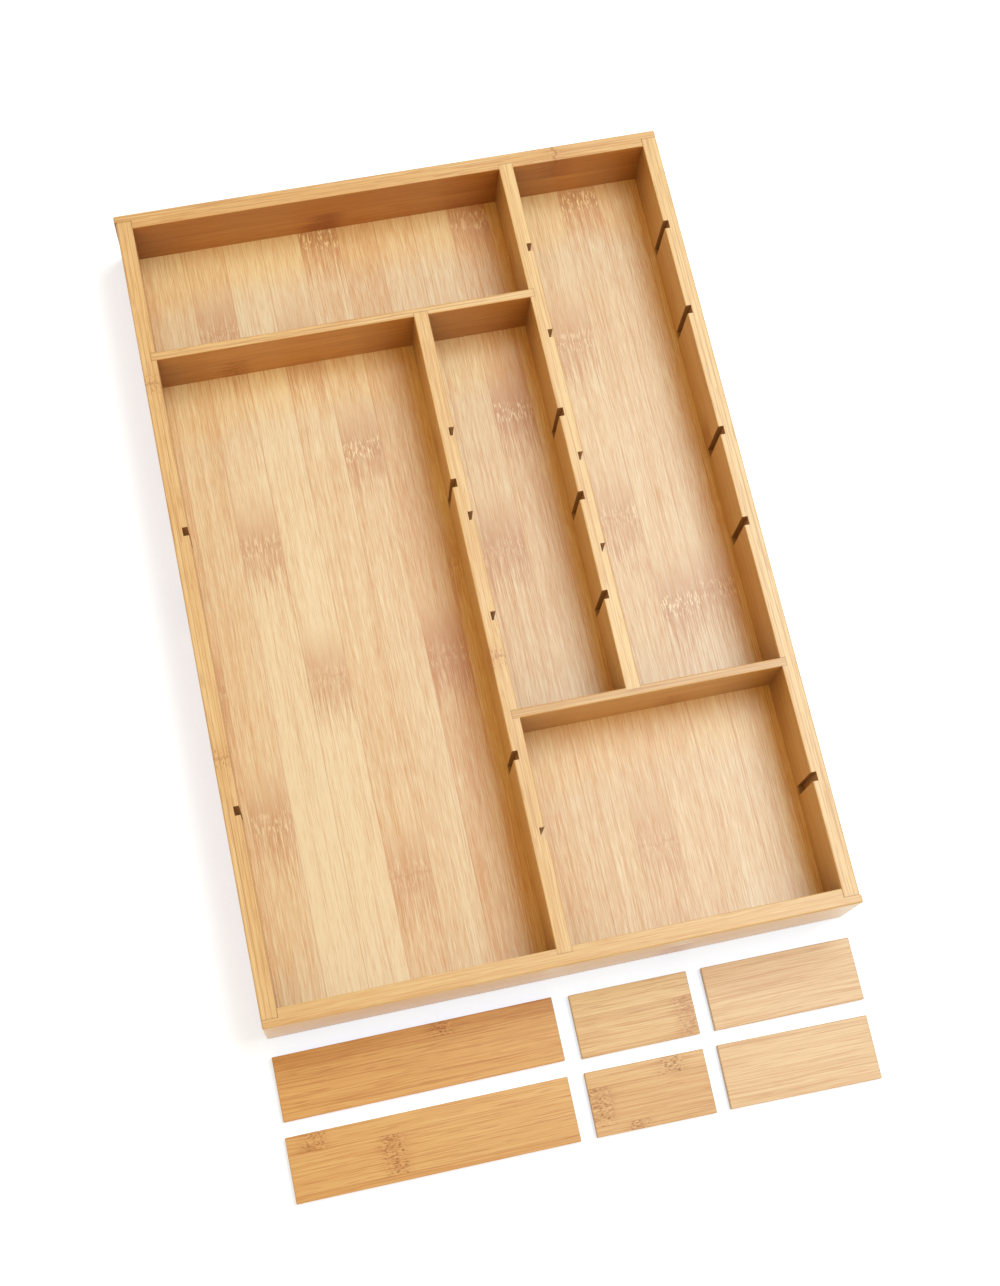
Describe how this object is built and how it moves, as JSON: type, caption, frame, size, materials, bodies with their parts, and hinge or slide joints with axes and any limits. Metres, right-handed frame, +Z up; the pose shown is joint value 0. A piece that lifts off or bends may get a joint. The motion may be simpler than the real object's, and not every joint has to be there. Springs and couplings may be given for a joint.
{
  "type": "drawer organizer insert",
  "caption": "Open bamboo drawer tray with fixed partitions and slotted walls, with loose dividers lying in front that drop into facing slots.",
  "frame": {"origin": "middle of the footprint of the tray and the loose dividers laid out in front of it, on the surface they stand on", "axes": "+Z up; +Y along the tray from its front wall to its back wall; +X across the tray from its left wall to its right wall"},
  "size_m": [0.3046, 0.5286, 0.046],
  "materials": {
    "wall_bamboo": "satin lacquer",
    "floor_bamboo": "satin lacquer",
    "partition_bamboo": "satin lacquer",
    "divider_bamboo": "satin lacquer"
  },
  "bodies": {
    "tray": {"floor_panel": "floor_bamboo", "back_wall": "wall_bamboo", "front_wall": "wall_bamboo", "left_wall": "wall_bamboo", "right_wall": "wall_bamboo", "centre_partition": "partition_bamboo", "right_partition": "partition_bamboo", "upper_cross_partition": "partition_bamboo", "lower_cross_partition": "partition_bamboo"},
    "long_divider_1": {"long_divider_1": "divider_bamboo"},
    "long_divider_2": {"long_divider_2": "divider_bamboo"},
    "short_divider_1": {"short_divider_1": "divider_bamboo"},
    "short_divider_2": {"short_divider_2": "divider_bamboo"},
    "medium_divider_1": {"medium_divider_1": "divider_bamboo"},
    "medium_divider_2": {"medium_divider_2": "divider_bamboo"}
  },
  "joints": [
    {"name": "long_divider_1_lift", "type": "slide", "parent": "tray", "child": "long_divider_1", "axis": [0, 0, 1], "range_m": [0, 0.06]},
    {"name": "long_divider_2_lift", "type": "slide", "parent": "tray", "child": "long_divider_2", "axis": [0, 0, 1], "range_m": [0, 0.06]},
    {"name": "short_divider_1_lift", "type": "slide", "parent": "tray", "child": "short_divider_1", "axis": [0, 0, 1], "range_m": [0, 0.06]},
    {"name": "short_divider_2_lift", "type": "slide", "parent": "tray", "child": "short_divider_2", "axis": [0, 0, 1], "range_m": [0, 0.06]},
    {"name": "medium_divider_1_lift", "type": "slide", "parent": "tray", "child": "medium_divider_1", "axis": [0, 0, 1], "range_m": [0, 0.06]},
    {"name": "medium_divider_2_lift", "type": "slide", "parent": "tray", "child": "medium_divider_2", "axis": [0, 0, 1], "range_m": [0, 0.06]}
  ]
}
